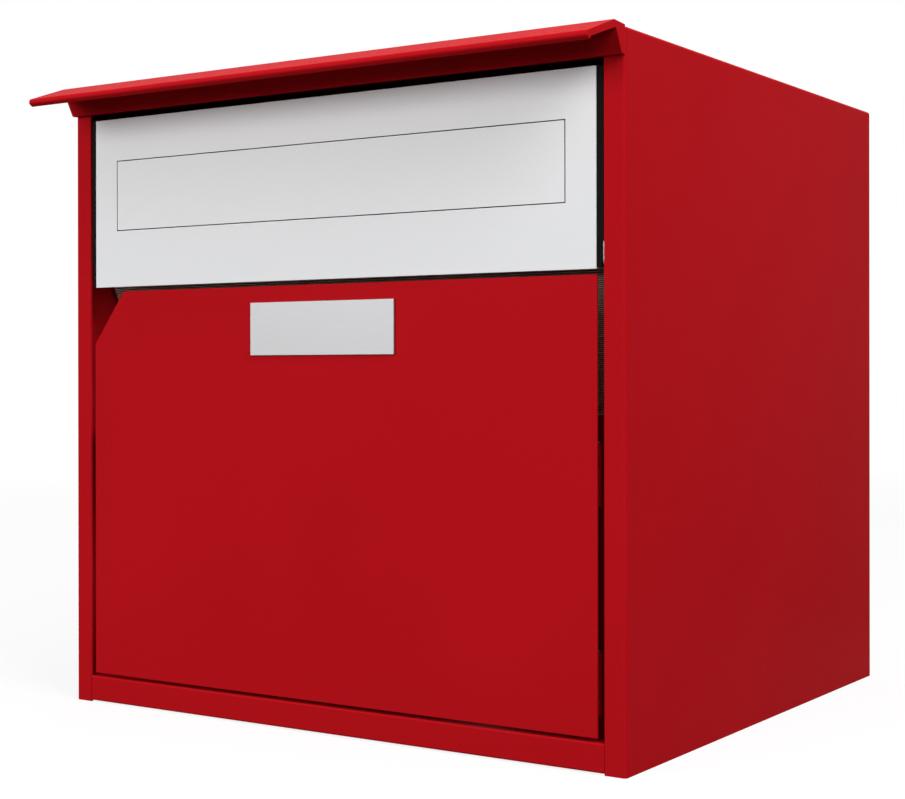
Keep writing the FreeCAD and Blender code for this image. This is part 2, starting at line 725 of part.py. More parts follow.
def letter_chassis(doc):
    """Folded frame of the letter door: back sheet, side cheeks, lower lip and lock keeper."""
    body = new_piece(doc, "letter_chassis")
    inner = f"({CHASSIS_SIDE} - chassis_sheet)"
    cheek = rectangle(PANEL_BACK, CHASSIS_BOTTOM, f"{PANEL_BACK} + cheek_depth", PANEL_TOP)
    for side in (-1, 1):
        add(body, "YZ", *sided(side, inner, CHASSIS_SIDE), [cheek])
    across = (1, 0, 0)
    round_edges(body, "cheek_front_radius", [(across, (0, -2, -1))])
    round_edges(body, "cheek_back_radius", [(across, (0, 2, -1))])
    sheet = rectangle(f"-{inner}", CHASSIS_BOTTOM, inner, PANEL_TOP)
    add(body, "XZ", CHASSIS_FRONT, CHASSIS_BACK, [sheet])
    cut(body, "XZ", CHASSIS_FRONT, CHASSIS_BACK, [window()])
    clear = f"({CHASSIS_SIDE} - pivot_reach - seam)"
    corner = rectangle(clear, f"{PIVOT_Z} - pivot_pin_radius - seam", inner, f"{PANEL_TOP} + seam")
    cut(body, "XZ", CHASSIS_FRONT, CHASSIS_BACK, [corner, mirrored(corner)])
    lip_back = f"({FRONT} + lip_depth)"
    lip_top = f"{CHASSIS_BOTTOM} + chassis_sheet"
    lip = rectangle(f"-{inner}", CHASSIS_FRONT, inner, lip_back)
    add(body, "XY", CHASSIS_BOTTOM, lip_top, [lip])
    upturn = rectangle(f"-{inner}", CHASSIS_BOTTOM, inner, f"{CHASSIS_BOTTOM} + lip_upturn")
    add(body, "XZ", f"{lip_back} - chassis_sheet", lip_back, [upturn])
    keeper = rectangle(f"{LOCK_X} - keeper_half_width", lip_top,
                       f"{LOCK_X} + keeper_half_width", f"{CHASSIS_BOTTOM} + keeper_height")
    add(body, "XZ", f"{lip_back} - chassis_sheet", lip_back, [keeper])
    for side in (-1, 1):
        holes(body, "YZ", *sided(side, inner, CHASSIS_SIDE), [(PIVOT_Y, PIVOT_Z)], "pivot_pin_radius")
    return body


def letter_door_buffers(doc):
    """Two rubber pads on the door's lower lip that meet the guard when it closes."""
    body = new_piece(doc, "letter_door_buffers")
    low = f"{FRONT} + lip_depth"
    high = f"{FRONT} + guard_setback - rest_gap"
    pads = [
        rectangle(f"{place} - buffer_width / 2", f"{CHASSIS_BOTTOM} + seam",
                  f"{place} + buffer_width / 2", f"{CHASSIS_BOTTOM} + lip_upturn - seam")
        for place in (f"{PANEL_SIDE} - buffer_inset_right", f"buffer_inset_left - {PANEL_SIDE}")
    ]
    add(body, "XZ", low, high, pads)
    return body


# Letter flap

def flap_bracket(doc, name, side):
    """Angle bracket on the chassis that carries one end of the flap's rod."""
    body = new_piece(doc, name)
    foot_side = f"({WINDOW_SIDE} + flap_bracket_width)"
    low = f"{FLAP_Z} - flap_bracket_height / 2"
    high = f"{FLAP_Z} + flap_bracket_height / 2"
    foot_back = f"{CHASSIS_BACK} + flap_bracket_sheet"
    foot = rectangle(WINDOW_SIDE, CHASSIS_BACK, foot_side, foot_back)
    add(body, "XY", low, high, [foot if side > 0 else mirrored(foot)])
    ear = rectangle(CHASSIS_BACK, f"{FLAP_Z} - flap_ear_radius - flap_bracket_sheet",
                    f"{CHASSIS_BACK} + flap_bracket_depth",
                    f"{FLAP_Z} + flap_ear_radius + flap_bracket_sheet")
    span = sided(side, WINDOW_SIDE, BRACKET_SIDE)
    add(body, "YZ", *span, [ear])
    holes(body, "YZ", *span, [(FLAP_Y, FLAP_Z)], "flap_rod_radius")
    return body


def flap_rod(doc):
    """Rod that the letter flap turns on."""
    body = new_piece(doc, "flap_rod")
    end = f"({BRACKET_SIDE} + flap_rod_end)"
    add(body, "YZ", f"-{end}", end, circles=[(FLAP_Y, FLAP_Z, "flap_rod_radius")])
    return body


def letter_flap(doc):
    """Flush flap in the slot, with a stiffening fold below and two ears around the rod."""
    body = new_piece(doc, "letter_flap")
    half = f"({SLOT_SIDE} - flap_gap)"
    low = f"{SLOT_BOTTOM} + flap_gap"
    high = f"{SLOT_TOP} - flap_gap"
    add(body, "XZ", FRONT, PANEL_BACK, [rectangle(f"-{half}", low, half, high)])
    fold = rectangle(f"-({half} - seam)", PANEL_BACK, f"{half} - seam", f"{PANEL_BACK} + flap_fold")
    add(body, "XY", low, f"{low} + chassis_sheet", [fold])
    web = rectangle(PANEL_BACK, f"{FLAP_Z} - flap_rod_radius - chassis_sheet",
                    FLAP_Y, f"{FLAP_Z} + flap_rod_radius")
    for side in (-1, 1):
        span = sided(side, f"{FLAP_EAR} - flap_ear_width / 2", f"{FLAP_EAR} + flap_ear_width / 2")
        add(body, "YZ", *span, [web])
        add(body, "YZ", *span, circles=[(FLAP_Y, FLAP_Z, "flap_ear_radius")])
        holes(body, "YZ", *span, [(FLAP_Y, FLAP_Z)], "flap_rod_radius")
    return body


def spring_path(size, side):
    """Corner points of the spring's wire: leg on the flap, turns round the rod, short tail."""
    panel_top = size.box_height / 2 - size.hood_drop - size.header_gap
    slot_top = panel_top - size.panel_height + size.slot_rise + size.slot_height
    axis_y = -size.box_depth + size.flap_axis_depth
    axis_z = slot_top - size.flap_axis_drop
    panel_side = size.box_width / 2 - size.flange_width - size.panel_side_gap
    ear = panel_side - size.slot_margin - size.flap_ear_inset
    far = ear - size.flap_ear_width / 2 - size.seam - size.spring_wire_radius
    near = far - SPRING_TURNS * size.spring_pitch
    flap_back = -size.box_depth + size.panel_sheet + size.seam / 6
    coil = size.spring_coil_radius
    points = [(near, flap_back + size.spring_wire_radius, axis_z - size.spring_leg)]
    for k in range(8 * SPRING_TURNS + 1):
        angle = math.radians(45 * k)
        across = near + k * size.spring_pitch / 8
        points.append((across, axis_y - coil * math.cos(angle), axis_z + coil * math.sin(angle)))
    points.append((far, axis_y - coil, axis_z + size.spring_tail))
    return [FreeCAD.Vector(side * x, y, z) for x, y, z in points]


def level_direction(start, end):
    """Direction from one point to another, seen along X."""
    return FreeCAD.Vector(0, end.y - start.y, end.z - start.z).normalize()


def wire_corners(points, number, radius):
    """The four corners of the square wire at one point of its path, mitred."""
    before = level_direction(points[max(number - 1, 0)], points[max(number, 1)])
    after = level_direction(points[min(number, len(points) - 2)], points[min(number + 1, len(points) - 1)])
    along = (before + after).normalize()
    mitre = FreeCAD.Vector(0, -along.z, along.y) * (radius / along.dot(before))
    across = FreeCAD.Vector(radius, 0, 0)
    point = points[number]
    return [point - across - mitre, point + across - mitre, point + across + mitre, point - across + mitre]


def flap_spring(doc, name, size, side):
    """Torsion spring wound round the rod by formula, in short straight runs of square wire."""
    points = spring_path(size, side)
    rings = [wire_corners(points, i, size.spring_wire_radius) for i in range(len(points))]
    triangles = []
    for first, second in zip(rings, rings[1:]):
        for k in range(4):
            j = (k + 1) % 4
            triangles.append((first[k], first[j], second[j]))
            triangles.append((first[k], second[j], second[k]))
    for end in (rings[0], rings[-1]):
        triangles.append((end[0], end[1], end[2]))
        triangles.append((end[0], end[2], end[3]))
    faces = [Part.Face(Part.makePolygon([a, b, c, a])) for a, b, c in triangles]
    solid = Part.Solid(Part.Shell(faces))
    if solid.Volume < 0:
        solid.reverse()
    feature = doc.addObject("Part::Feature", name)
    feature.Label = name
    feature.Shape = solid
    return feature


# Parcel door

def door_panel(doc):
    """Flat red door sheet with its upper left corner cut away for the fingers."""
    body = new_piece(doc, "door_panel")
    outline = [
        (f"-{DOOR_SIDE}", DOOR_BOTTOM),
        (DOOR_HINGE_SIDE, DOOR_BOTTOM),
        (DOOR_HINGE_SIDE, DOOR_TOP),
        (f"-{DOOR_SIDE} + chamfer_width", DOOR_TOP),
        (f"-{DOOR_SIDE}", f"{DOOR_TOP} - chamfer_height"),
    ]
    add(body, "XZ", FRONT, DOOR_BACK, [outline])
    deep = (0, 1, 0)
    # The two ends of the slanted edge, each farthest along a line that its neighbours fall short of
    round_edges(body, "chamfer_radius", [(deep, (-1.0, 0, 2.0)), (deep, (-2.5, 0, 1.0))])
    return body


def door_inner_pan(doc):
    """Folded pan welded to the back of the door, which stiffens it."""
    body = new_piece(doc, "door_inner_pan")
    half = f"({DOOR_SIDE} - pan_inset_x)"
    low = f"({DOOR_BOTTOM} + pan_inset_z)"
    high = f"({DOOR_TOP} - pan_inset_z)"
    add(body, "XZ", DOOR_BACK, PAN_BACK, [rectangle(f"-{half}", low, half, high)])
    hollow = rectangle(f"-({half} - pan_sheet)", f"{low} + pan_sheet",
                       f"{half} - pan_sheet", f"{high} - pan_sheet")
    cut(body, "XZ", DOOR_BACK, f"{PAN_BACK} - pan_sheet", [hollow])
    across = (1, 0, 0)
    upright = (0, 0, 1)
    corners = [(across, (0, 1, 1)), (across, (0, 1, -1)), (upright, (1, 1, 0)), (upright, (-1, 1, 0))]
    round_edges(body, "pan_sheet", corners)
    return body


def nameplate(doc):
    """Bare metal plate for a name, on the door."""
    body = new_piece(doc, "nameplate")
    top = f"({DOOR_TOP} - nameplate_drop)"
    outline = rectangle("-nameplate_width / 2", f"{top} - nameplate_height",
                        "nameplate_width / 2", top)
    add(body, "XZ", f"{FRONT} - tape_thickness - nameplate_sheet", f"{FRONT} - tape_thickness",
        [outline])
    return body


def nameplate_tape(doc):
    """Thin adhesive tape between the nameplate and the door."""
    body = new_piece(doc, "nameplate_tape")
    top = f"({DOOR_TOP} - nameplate_drop)"
    half = "(nameplate_width / 2 - tape_margin)"
    outline = rectangle(f"-{half}", f"{top} - nameplate_height + tape_margin",
                        half, f"{top} - tape_margin")
    add(body, "XZ", f"{FRONT} - tape_thickness", FRONT, [outline])
    return body


def hinge_centre(height):
    """Level of a hinge's middle."""
    return f"({BASE} + {height})"


def hinge_bracket(doc, name, height):
    """Folded arm from the right side to the hinge pin, with a ring above and below the lug."""
    body = new_piece(doc, name)
    middle = hinge_centre(height)
    low = f"{middle} - hinge_height / 2"
    high = f"{middle} + hinge_height / 2"
    left = f"({HINGE_X} - hinge_sheet / 2)"
    right = f"({HINGE_X} + hinge_sheet / 2)"
    arm = [
        (left, HINGE_Y),
        (right, HINGE_Y),
        (right, ARM_Y),
        (f"{WEB} - hinge_sheet", ARM_Y),
        (WEB, ARM_Y),
        (WEB, f"{ARM_Y} + hinge_leg"),
        (f"{WEB} - hinge_sheet", f"{ARM_Y} + hinge_leg"),
        (f"{WEB} - hinge_sheet", f"{ARM_Y} + hinge_sheet"),
        (left, f"{ARM_Y} + hinge_sheet"),
    ]
    add(body, "XY", low, high, [arm])
    add(body, "XY", low, high, circles=[(HINGE_X, HINGE_Y, "hinge_ring_radius")])
    holes(body, "XY", low, high, [(HINGE_X, HINGE_Y)], "hinge_pin_radius")
    gap = "(hinge_middle / 2 + hinge_play)"
    clear = "(hinge_ring_radius + seam)"
    notch = rectangle(f"{HINGE_X} - {clear}", f"{HINGE_Y} - {clear}",
                      f"{HINGE_X} + {clear}", f"{HINGE_Y} + {clear}")
    cut(body, "XY", f"{middle} - {gap}", f"{middle} + {gap}", [notch])
    return body


def hinge_lug(doc, name, height):
    """Lug on the back of the door: a foot, a tongue and the ring round the pin."""
    body = new_piece(doc, name)
    middle = hinge_centre(height)
    back = f"{DOOR_BACK} + lug_sheet"
    foot_end = f"{HINGE_X} - lug_clear"
    foot = rectangle(f"{foot_end} - lug_foot", DOOR_BACK, foot_end, back)
    add(body, "XY", f"{middle} - hinge_height / 2", f"{middle} + hinge_height / 2", [foot])
    low = f"{middle} - hinge_middle / 2"
    high = f"{middle} + hinge_middle / 2"
    add(body, "XY", low, high, [rectangle(f"{foot_end}", DOOR_BACK, HINGE_X, back)])
    add(body, "XY", low, high, circles=[(HINGE_X, HINGE_Y, "hinge_ring_radius")])
    holes(body, "XY", low, high, [(HINGE_X, HINGE_Y)], "hinge_pin_radius")
    return body


def hinge_pins(doc):
    """The two headed hinge pins."""
    body = new_piece(doc, "hinge_pins")
    heights = ("lower_hinge_height", "upper_hinge_height")
    for height in heights:
        middle = hinge_centre(height)
        top = f"{middle} + hinge_height / 2"
        add(body, "XY", f"{middle} - hinge_height / 2", top,
            circles=[(HINGE_X, HINGE_Y, "hinge_pin_radius")])
        add(body, "XY", top, f"{top} + pin_head_height",
            circles=[(HINGE_X, HINGE_Y, "pin_head_radius")])
    return body


# Magnetic catch

def catch_screw_places():
    """Centres of the two screws of the catch."""
    return [(CATCH_X, f"{CATCH_Z} + {level} * catch_screw_spread / 2") for level in (-1, 1)]


def strike_plate(doc):
    """Thin steel plate on the door's pan that the magnet holds."""
    body = new_piece(doc, "strike_plate")
    half = "(catch_width / 2 - strike_margin)"
    half_long = "(catch_length / 2 - strike_margin)"
    outline = rectangle(f"{CATCH_X} - {half}", f"{CATCH_Z} - {half_long}",
                        f"{CATCH_X} + {half}", f"{CATCH_Z} + {half_long}")
    add(body, "XZ", PAN_BACK, STRIKE_BACK, [outline])
    return body


def magnet_housing(doc):
    """Plastic housing of the catch, open to the front for the magnet."""
    body = new_piece(doc, "magnet_housing")
    half = "(catch_width / 2)"
    half_long = "(catch_length / 2)"
    outline = rectangle(f"{CATCH_X} - {half}", f"{CATCH_Z} - {half_long}",
                        f"{CATCH_X} + {half}", f"{CATCH_Z} + {half_long}")
    add(body, "XZ", CATCH_FRONT, CATCH_BACK, [outline])
    cavity = rectangle(f"{CATCH_X} - {half} + catch_wall", f"{CATCH_Z} - {half_long} + catch_wall",
                       f"{CATCH_X} + {half} - catch_wall", f"{CATCH_Z} + {half_long} - catch_wall")
    cut(body, "XZ", CATCH_FRONT, f"{CATCH_BACK} - catch_wall", [cavity])
    holes(body, "XZ", f"{CATCH_BACK} - catch_wall", CATCH_BACK, catch_screw_places(),
          "catch_screw_radius")
    return body


def magnet_bar(doc):
    """Magnet block with two pole plates that stand out of the housing."""
    body = new_piece(doc, "magnet_bar")
    half = "(catch_width / 2 - catch_wall)"
    half_long = "(catch_length / 2 - catch_wall)"
    back = f"{CATCH_BACK} - catch_wall - catch_screw_radius * 2"
    block = rectangle(f"{CATCH_X} - {half}", f"{CATCH_Z} - {half_long}",
                      f"{CATCH_X} + {half}", f"{CATCH_Z} + {half_long}")
    add(body, "XZ", f"{CATCH_FRONT} - magnet_reach", back, [block])
    pole = rectangle(f"{CATCH_X} - {half}", f"{CATCH_Z} - {half_long}",
                     f"{CATCH_X} - {half} + pole_sheet", f"{CATCH_Z} + {half_long}")
    other = rectangle(f"{CATCH_X} + {half} - pole_sheet", f"{CATCH_Z} - {half_long}",
                      f"{CATCH_X} + {half}", f"{CATCH_Z} + {half_long}")
    add(body, "XZ", POLE_FRONT, f"{CATCH_FRONT} - magnet_reach", [pole, other])
    return body


def magnet_bracket(doc):
    """Angle bracket that carries the catch from the left side."""
    body = new_piece(doc, "magnet_bracket")
    arm_end = f"({CATCH_X} + catch_width / 2)"
    outline = [
        (f"-{WEB}", CATCH_BACK),
        (arm_end, CATCH_BACK),
        (arm_end, f"{CATCH_BACK} + body_sheet"),
        (f"-({WEB} - body_sheet)", f"{CATCH_BACK} + body_sheet"),
        (f"-({WEB} - body_sheet)", f"{CATCH_BACK} + catch_leg"),
        (f"-{WEB}", f"{CATCH_BACK} + catch_leg"),
    ]
    low = f"{CATCH_Z} - catch_arm_height / 2"
    high = f"{CATCH_Z} + catch_arm_height / 2"
    add(body, "XY", low, high, [outline])
    holes(body, "XZ", CATCH_BACK, f"{CATCH_BACK} + body_sheet", catch_screw_places(),
          "catch_screw_radius")
    return body


def magnet_screws(doc):
    """Two screws through the bracket into the catch's housing."""
    seat = f"({CATCH_BACK} + body_sheet)"
    head = (seat, f"{seat} + catch_screw_radius")
    shank = (f"{CATCH_BACK} - catch_wall - catch_screw_radius", seat)
    return screws(doc, "magnet_screws", "XZ", head, shank, catch_screw_places(),
                  "catch_screw_radius")


def build(doc, size):
    """Every piece of the post box, in the order of assembly."""
    return [
        body_shell(doc),
        bottom_tray(doc),
        back_panel(doc),
        rain_hood(doc),
        hood_screws(doc),
        tray_rail(doc, "tray_rail_left", -1),
        tray_rail(doc, "tray_rail_right", 1),
        letter_tray(doc),
        tray_screws(doc),
        ribbed_guard(doc, size),
        lock_body(doc),
        lock_nut(doc),
        lock_cam(doc),
        lock_cam_screw(doc),
        pivot_stud(doc, "pivot_stud_left", -1),
        pivot_stud(doc, "pivot_stud_right", 1),
        letter_panel(doc),
        letter_gasket(doc),
        letter_chassis(doc),
        letter_door_buffers(doc),
        flap_bracket(doc, "flap_bracket_left", -1),
        flap_bracket(doc, "flap_bracket_right", 1),
        flap_rod(doc),
        letter_flap(doc),
        flap_spring(doc, "flap_spring_left", size, -1),
        flap_spring(doc, "flap_spring_right", size, 1),
        door_panel(doc),
        door_inner_pan(doc),
        nameplate(doc),
        nameplate_tape(doc),
        hinge_bracket(doc, "hinge_bracket_lower", "lower_hinge_height"),
        hinge_bracket(doc, "hinge_bracket_upper", "upper_hinge_height"),
        hinge_lug(doc, "hinge_lug_lower", "lower_hinge_height"),
        hinge_lug(doc, "hinge_lug_upper", "upper_hinge_height"),
        hinge_pins(doc),
        magnet_bracket(doc),
        magnet_housing(doc),
        magnet_bar(doc),
        magnet_screws(doc),
        strike_plate(doc),
    ]


def check(doc, pieces):
    """Stops if any object failed or any piece has no valid shape."""
    for thing in doc.Objects:
        if "Invalid" in thing.State or "Error" in thing.State:
            raise RuntimeError(f"{thing.Name} failed: {thing.State}")
    for piece in pieces:
        if piece.Shape.isNull() or not piece.Shape.isValid() or not piece.Shape.Solids:
            raise RuntimeError(f"{piece.Label} has no valid solid")


def main():
    doc = FreeCAD.newDocument("post_box")
    size = make_sheet(doc)
    pieces = build(doc, size)
    doc.recompute()
    check(doc, pieces)
    os.makedirs("parts", exist_ok=True)
    for piece in pieces:
        piece.Shape.exportStep(f"parts/{piece.Label}.step")
        solids = len(piece.Shape.Solids)
        print(f"{piece.Label}: {solids} solid(s), {piece.Shape.Volume / 1000:.2f} cm3")


main()
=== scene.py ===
import json
import math

import bmesh
import bpy
from mathutils import Matrix, Vector


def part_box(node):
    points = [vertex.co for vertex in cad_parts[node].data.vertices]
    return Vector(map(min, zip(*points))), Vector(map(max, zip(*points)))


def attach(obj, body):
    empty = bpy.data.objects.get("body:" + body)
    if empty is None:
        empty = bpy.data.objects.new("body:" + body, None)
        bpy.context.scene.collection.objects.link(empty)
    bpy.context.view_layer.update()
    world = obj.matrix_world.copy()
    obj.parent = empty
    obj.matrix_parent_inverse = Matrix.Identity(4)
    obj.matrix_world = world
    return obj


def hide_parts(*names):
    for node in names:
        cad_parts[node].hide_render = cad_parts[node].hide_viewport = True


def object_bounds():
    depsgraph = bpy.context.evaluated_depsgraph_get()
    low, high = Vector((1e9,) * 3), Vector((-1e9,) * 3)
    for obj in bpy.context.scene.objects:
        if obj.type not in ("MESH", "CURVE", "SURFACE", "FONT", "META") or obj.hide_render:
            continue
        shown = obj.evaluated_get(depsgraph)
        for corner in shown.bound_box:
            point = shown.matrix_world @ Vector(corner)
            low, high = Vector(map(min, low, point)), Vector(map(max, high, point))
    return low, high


# Wall mounted post box: red powder coated housing and parcel door, pale letter door with a flush
# flap, bare nameplate. Metres, X to the right, Y to the wall, Z up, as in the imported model.

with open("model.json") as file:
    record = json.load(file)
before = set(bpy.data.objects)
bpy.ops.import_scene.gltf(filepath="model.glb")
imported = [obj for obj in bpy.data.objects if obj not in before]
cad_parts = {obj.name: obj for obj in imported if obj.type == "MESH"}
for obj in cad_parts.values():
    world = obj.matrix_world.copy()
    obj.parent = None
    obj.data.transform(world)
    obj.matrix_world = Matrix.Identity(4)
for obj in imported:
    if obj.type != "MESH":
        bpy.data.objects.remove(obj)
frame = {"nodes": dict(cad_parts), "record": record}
cad_low, cad_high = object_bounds()
nodes = frame["nodes"]
record = frame["record"]
BODY_OF = {node: body for body, members in record["behaviour"]["bodies"].items()
           for node in members}
SLOT_OF = {part["node"]: part["material_slot"] for part in record["subparts"]}

MM = 0.001

# Photograph: the eye 813 mm in front of the front plane and 17 mm above mid-height.
# Angles in degrees, focus and shift in pixels.
EYE = Vector((0.63133, -1.18309, 0.01695))
EYE_YAW = 33.47
EYE_PITCH = -0.0903
EYE_ROLL = -0.0738
EYE_FOCUS = 1722.5
HORIZON_SHIFT = -26.22
IMAGE_WIDTH = 905
SENSOR_WIDTH = 36
NEAREST_SEEN = 0.05
FARTHEST_SEEN = 60

# Finishes, as colours in linear light
RED = (0.41, 0.0055, 0.0092)
RED_DEEP = (0.39, 0.0050, 0.0085)
PALE = (0.695, 0.70, 0.71)
BARE = (0.29, 0.29, 0.295)
ZINC = (0.42, 0.43, 0.42)
# Guard ribs, painted light: a bright warm tip for the lit rib tips and the red light thrown back
# in the box, and a dark hollow as painted shade between the ribs
RIB_TIP_LIT = (0.78, 0.57, 0.47)
RIB_HOLLOW_SHADE = (0.10, 0.065, 0.05)
NICKEL = (0.66, 0.65, 0.62)
BLACK = (0.0035, 0.0035, 0.0035)
FERRITE = (0.045, 0.045, 0.05)
TAPE = (0.72, 0.72, 0.69)

# Most of a noise lies between these two values
NOISE_LOW = 0.3
NOISE_HIGH = 0.7

# Flats this close to one plane are joined; folds sharper than this are edges
FLAT_WITHIN = math.radians(0.5)
SHEET_EDGE_FROM = math.radians(35)
GROWN_EDGE_FROM = math.radians(40)
EDGE_STEPS = 3

# Broken edges of the sheet pieces and other rigid ones, in mm; the width follows the sheet
BROKEN_EDGES = {
    "body_shell": 0.35,
    "bottom_tray": 0.35,
    "back_panel": 0.3,
    "rain_hood": 0.4,
    "letter_tray": 0.25,
    "tray_rail_left": 0.3,
    "tray_rail_right": 0.3,
    "letter_panel": 0.12,
    "letter_flap": 0.1,
    "letter_gasket": 0.2,
    "letter_chassis": 0.2,
    "letter_door_buffers": 0.5,
    "door_panel": 0.4,
    "door_inner_pan": 0.25,
    "nameplate": 0.15,
    "hinge_bracket_lower": 0.3,
    "hinge_bracket_upper": 0.3,
    "hinge_lug_lower": 0.3,
    "hinge_lug_upper": 0.3,
    "hinge_pins": 0.2,
    "magnet_bracket": 0.25,
    "magnet_housing": 0.3,
    "magnet_bar": 0.15,
    "strike_plate": 0.15,
    "lock_nut": 0.3,
    "lock_cam": 0.3,
    "flap_bracket_left": 0.2,
    "flap_bracket_right": 0.2,
}

# Painted shade in the slot: how far round the flap an edge counts as the slot's, and the part of
# a face's normal along Y above which it is a front or a back and no edge; those edges are painted
# black for the dark of the gap
SLOT_MARGIN = 1.0 * MM
FRONT_FACING = 0.8

# Flap spring: the wire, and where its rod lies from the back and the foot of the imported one
SPRING = {"Turns": 4.0, "Coil radius": 2.9 * MM, "Coil length": 5.0 * MM,
          "Leg end": -16.0 * MM, "Tail": 4.6 * MM, "Wire radius": 0.48 * MM}
PACKED_WIRE_HALF = 0.5 * MM
ROD_FROM_BACK = 3.4 * MM
ROD_FROM_FOOT = 16.0 * MM

# Screws, and the shares of the head's height and the shank's radius or length that shape them
LARGE_SCREW = {"Head radius": 4.0 * MM, "Head height": 2.0 * MM, "Shank radius": 2.0 * MM,
               "Thread pitch": 0.7 * MM}
SMALL_SCREW = {"Head radius": 3.2 * MM, "Head height": 1.6 * MM, "Shank radius": 1.6 * MM,
               "Thread pitch": 0.55 * MM}
HOOD_SCREW_SPACING = 150.0 * MM
HOOD_SCREW_LENGTH = 6.0 * MM
CATCH_SCREW_SPACING = 18.0 * MM
CROWN_HEIGHT = 0.18
CROWN_TOP = 0.82
HEAD_FLATTENED = 0.82
CORE_RADIUS = 0.86
RIDGE_RADIUS = 0.13
THREAD_RUN = 0.9
THREAD_FOOT = -0.95

# Ribbed guard: its sheet, the grid rows in one rib, and where its top front edge lies
GUARD = {"Width": 386.0 * MM, "Flange": 14.0 * MM, "Length": 94.5 * MM, "Pitch": 1.25 * MM,
         "Rib height": 0.6 * MM, "Lean": math.radians(27)}
GUARD_SHEET = 1.2 * MM
ROWS_IN_RIB = 8.0
GUARD_FRONT = -347.4 * MM
GUARD_UNDER_TRAY = 0.25 * MM

# Floor: pale to the eye and darker for the light that it throws back on the box. A veil of
# white grows over it from near to far; each is a distance from the middle and a share of white.
FLOOR_HALF = 8.0
FLOOR_BELOW = 0.0002
FLOOR_THROWN_BACK = 0.06
FLOOR_SEEN = 0.9
VEIL_NEAR = (0.5, 0.85)
VEIL_FAR = (2.5, 1.0)
WHITE = (1, 1, 1, 1)
SKY_STRENGTH = 0.27

# Soft boxes: name, place, width, height and power; all face the middle of the box
LIT_MIDDLE = (0, -0.2, 0)
SOFT_BOXES = (
    ("front_box", (-1.1, -2.3, 0.7), 1.6, 1.1, 37),
    ("eye_box", (1.2, -2.1, 0.5), 1.0, 1.0, 9.5),
    ("top_box", (0.2, -0.15, 1.8), 1.6, 1.6, 19.5),
    ("side_box", (1.7, -0.9, 1.5), 1.2, 1.2, 43),
)

# Weak lamps in the parcel compartment: name, place and power, and what a spot is aimed at
FILL_LAMPS = (
    ("parcel_bay_fill", (0.02, -0.22, -0.1), 0.03, None),
    ("left_wall_fill_upper", (-0.15, -0.335, 0.0), 0.04, (-0.2025, -0.362, 0.02)),
    ("left_wall_fill_lower", (-0.15, -0.335, -0.12), 0.03, None),
)
FILL_CONE = math.radians(100)
FILL_CONE_BLEND = 0.4


# Small helpers for node trees

def add_node(tree, kind, inputs=None, **settings):
    """One node with its settings; each input is a value or the socket that feeds it."""
    node = tree.nodes.new(kind)
    for name, value in settings.items():
        setattr(node, name, value)
    for name, value in (inputs or {}).items():
        socket = node.inputs[name]
        if isinstance(value, bpy.types.NodeSocket):
            tree.links.new(value, socket)
        else:
            socket.default_value = value
    return node


def reckon(tree, kind, first, second=0.0):
    """One step of arithmetic on numbers or sockets."""
    return add_node(tree, "ShaderNodeMath", {0: first, 1: second}, operation=kind).outputs[0]


def times(tree, first, second):
    """The product of two numbers or sockets."""
    return reckon(tree, "MULTIPLY", first, second)


def vector_of(tree, x, y, z):
    """Three numbers or sockets as one place."""
    return add_node(tree, "ShaderNodeCombineXYZ", {"X": x, "Y": y, "Z": z}).outputs[0]


def between(tree, source, low, high, out_low, out_high):
    """The source spread from low..high to out_low..out_high."""
    return add_node(tree, "ShaderNodeMapRange", {
        "Value": source, "From Min": low, "From Max": high,
        "To Min": out_low, "To Max": out_high}).outputs["Result"]


def cleared(owner):
    """The node tree of a material or a world, empty."""
    owner.use_nodes = True
    owner.node_tree.nodes.clear()
    return owner.node_tree


def new_finish(name):
    """An empty material with its surface node."""
    material = bpy.data.materials.new(name)
    tree = cleared(material)
    surface = add_node(tree, "ShaderNodeBsdfPrincipled")
    add_node(tree, "ShaderNodeOutputMaterial", {"Surface": surface.outputs["BSDF"]})
    return material, tree, surface


def feed(tree, surface, **sources):
    """Each named input of the surface gets a value or a socket; an underscore is a space."""
    for name, source in sources.items():
        socket = surface.inputs[name.replace("_", " ")]
        if isinstance(source, bpy.types.NodeSocket):
            tree.links.new(source, socket)
        else:
            socket.default_value = source


def grain(tree, scale, detail=3.0, stretch=(1.0, 1.0, 1.0)):
    """Noise on the object's own coordinates, drawn out along an axis where stretch is small."""
    place = add_node(tree, "ShaderNodeTexCoord").outputs["Object"]
    mapped = add_node(tree, "ShaderNodeMapping", {"Vector": place, "Scale": stretch})
    return add_node(tree, "ShaderNodeTexNoise", {
        "Vector": mapped.outputs["Vector"], "Scale": scale, "Detail": detail}).outputs["Fac"]


def by_grain(tree, source, low, high):
    """A value that moves from low to high with a noise."""
    return between(tree, source, NOISE_LOW, NOISE_HIGH, low, high)


def two_colours(tree, amount, first, second):
    """A colour that moves from the first to the second with a noise or an amount."""
    ramp = add_node(tree, "ShaderNodeValToRGB", {"Fac": amount})
    for element, place, colour in zip(ramp.color_ramp.elements, (NOISE_LOW, NOISE_HIGH),
                                      (first, second)):
        element.position = place
        element.color = (*colour, 1)
    return ramp.outputs["Color"]


def scaled(colour, factor):
    """A colour made lighter or darker, and never more than white."""
    return tuple(min(1.0, c * factor) for c in colour)


def bumps(tree, surface, layers):
    """Heights in metres stacked as bump layers, each a source and its depth."""
    normal = None
    for source, depth in layers:
        inputs = {"Height": source, "Distance": depth, "Strength": 1.0}
        if normal is not None:
            inputs["Normal"] = normal
        normal = add_node(tree, "ShaderNodeBump", inputs).outputs["Normal"]
    feed(tree, surface, Normal=normal)


# Finishes

